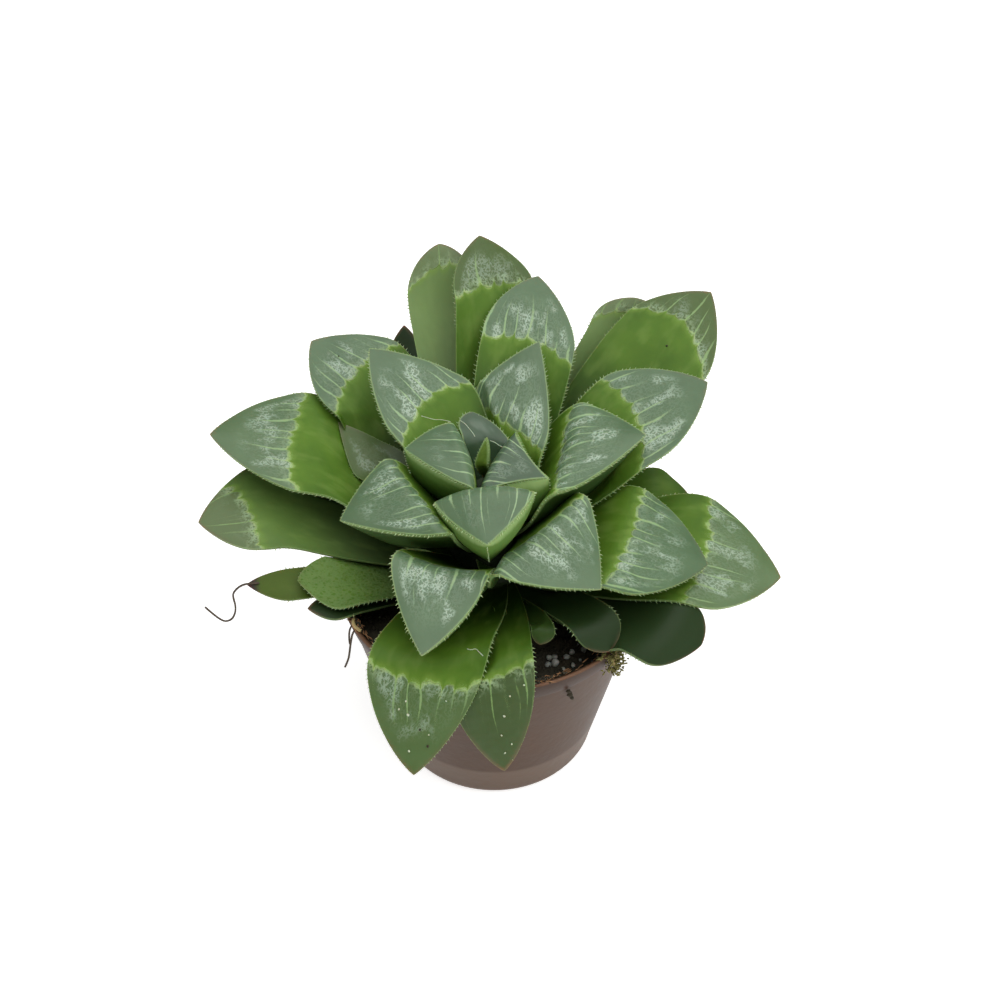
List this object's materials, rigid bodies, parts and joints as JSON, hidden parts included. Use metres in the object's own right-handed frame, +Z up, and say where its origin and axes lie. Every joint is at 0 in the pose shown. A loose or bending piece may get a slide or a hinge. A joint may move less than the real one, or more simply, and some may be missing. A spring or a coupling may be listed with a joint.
{
  "type": "potted haworthia",
  "caption": "Small rosette succulent with thick, windowed, toothed leaves, growing in dark soil in a round tapered plastic nursery pot; stands on the pot's flat underside.",
  "frame": {"origin": "centre of the pot's underside, on the surface that the pot stands on", "axes": "+Z up, +X to the plant's right and -Y towards its front, seen as in the picture"},
  "size_m": [0.112, 0.0982, 0.088],
  "materials": {
    "pot_plastic": "thin moulded plastic, brown-mauve, satin",
    "potting_soil": "dark, damp, crumbly potting mix with pale grains",
    "stem_tissue": "pale green stem with old leaf bases",
    "leaf_flesh": "waxy green leaf, glossy grey-green window with pale lines, light green inner face"
  },
  "bodies": {
    "root": {"pot": "pot_plastic", "soil": "potting_soil", "stem": "stem_tissue", "leaf_bud": "leaf_flesh", "leaf_heart_back": "leaf_flesh", "leaf_heart_left": "leaf_flesh", "leaf_heart_right": "leaf_flesh", "leaf_heart_front": "leaf_flesh", "leaf_inner_upper_left": "leaf_flesh", "leaf_inner_back": "leaf_flesh", "leaf_inner_right": "leaf_flesh", "leaf_inner_left": "leaf_flesh", "leaf_inner_front": "leaf_flesh", "leaf_inner_front_right": "leaf_flesh", "leaf_middle_small": "leaf_flesh", "leaf_middle_back": "leaf_flesh", "leaf_middle_upper_left": "leaf_flesh", "leaf_middle_left": "leaf_flesh", "leaf_middle_upper_right": "leaf_flesh", "leaf_middle_right": "leaf_flesh", "leaf_outer_upper_right": "leaf_flesh", "leaf_outer_back_right": "leaf_flesh", "leaf_outer_back": "leaf_flesh", "leaf_outer_back_left": "leaf_flesh", "leaf_outer_left": "leaf_flesh", "leaf_outer_right": "leaf_flesh", "leaf_outer_front": "leaf_flesh", "leaf_outer_front_right": "leaf_flesh", "leaf_basal_front_stub": "leaf_flesh", "leaf_basal_front_round": "leaf_flesh", "leaf_basal_front_finger": "leaf_flesh", "leaf_basal_right": "leaf_flesh", "leaf_basal_left": "leaf_flesh", "leaf_basal_left_dry": "leaf_flesh", "leaf_basal_left_low": "leaf_flesh", "leaf_basal_back_right": "leaf_flesh", "leaf_basal_upper_back": "leaf_flesh", "leaf_hidden_left_back": "leaf_flesh", "leaf_hidden_back_left": "leaf_flesh", "leaf_hidden_back": "leaf_flesh", "leaf_hidden_back_right": "leaf_flesh", "leaf_hidden_right_back": "leaf_flesh"}
  },
  "joints": []
}
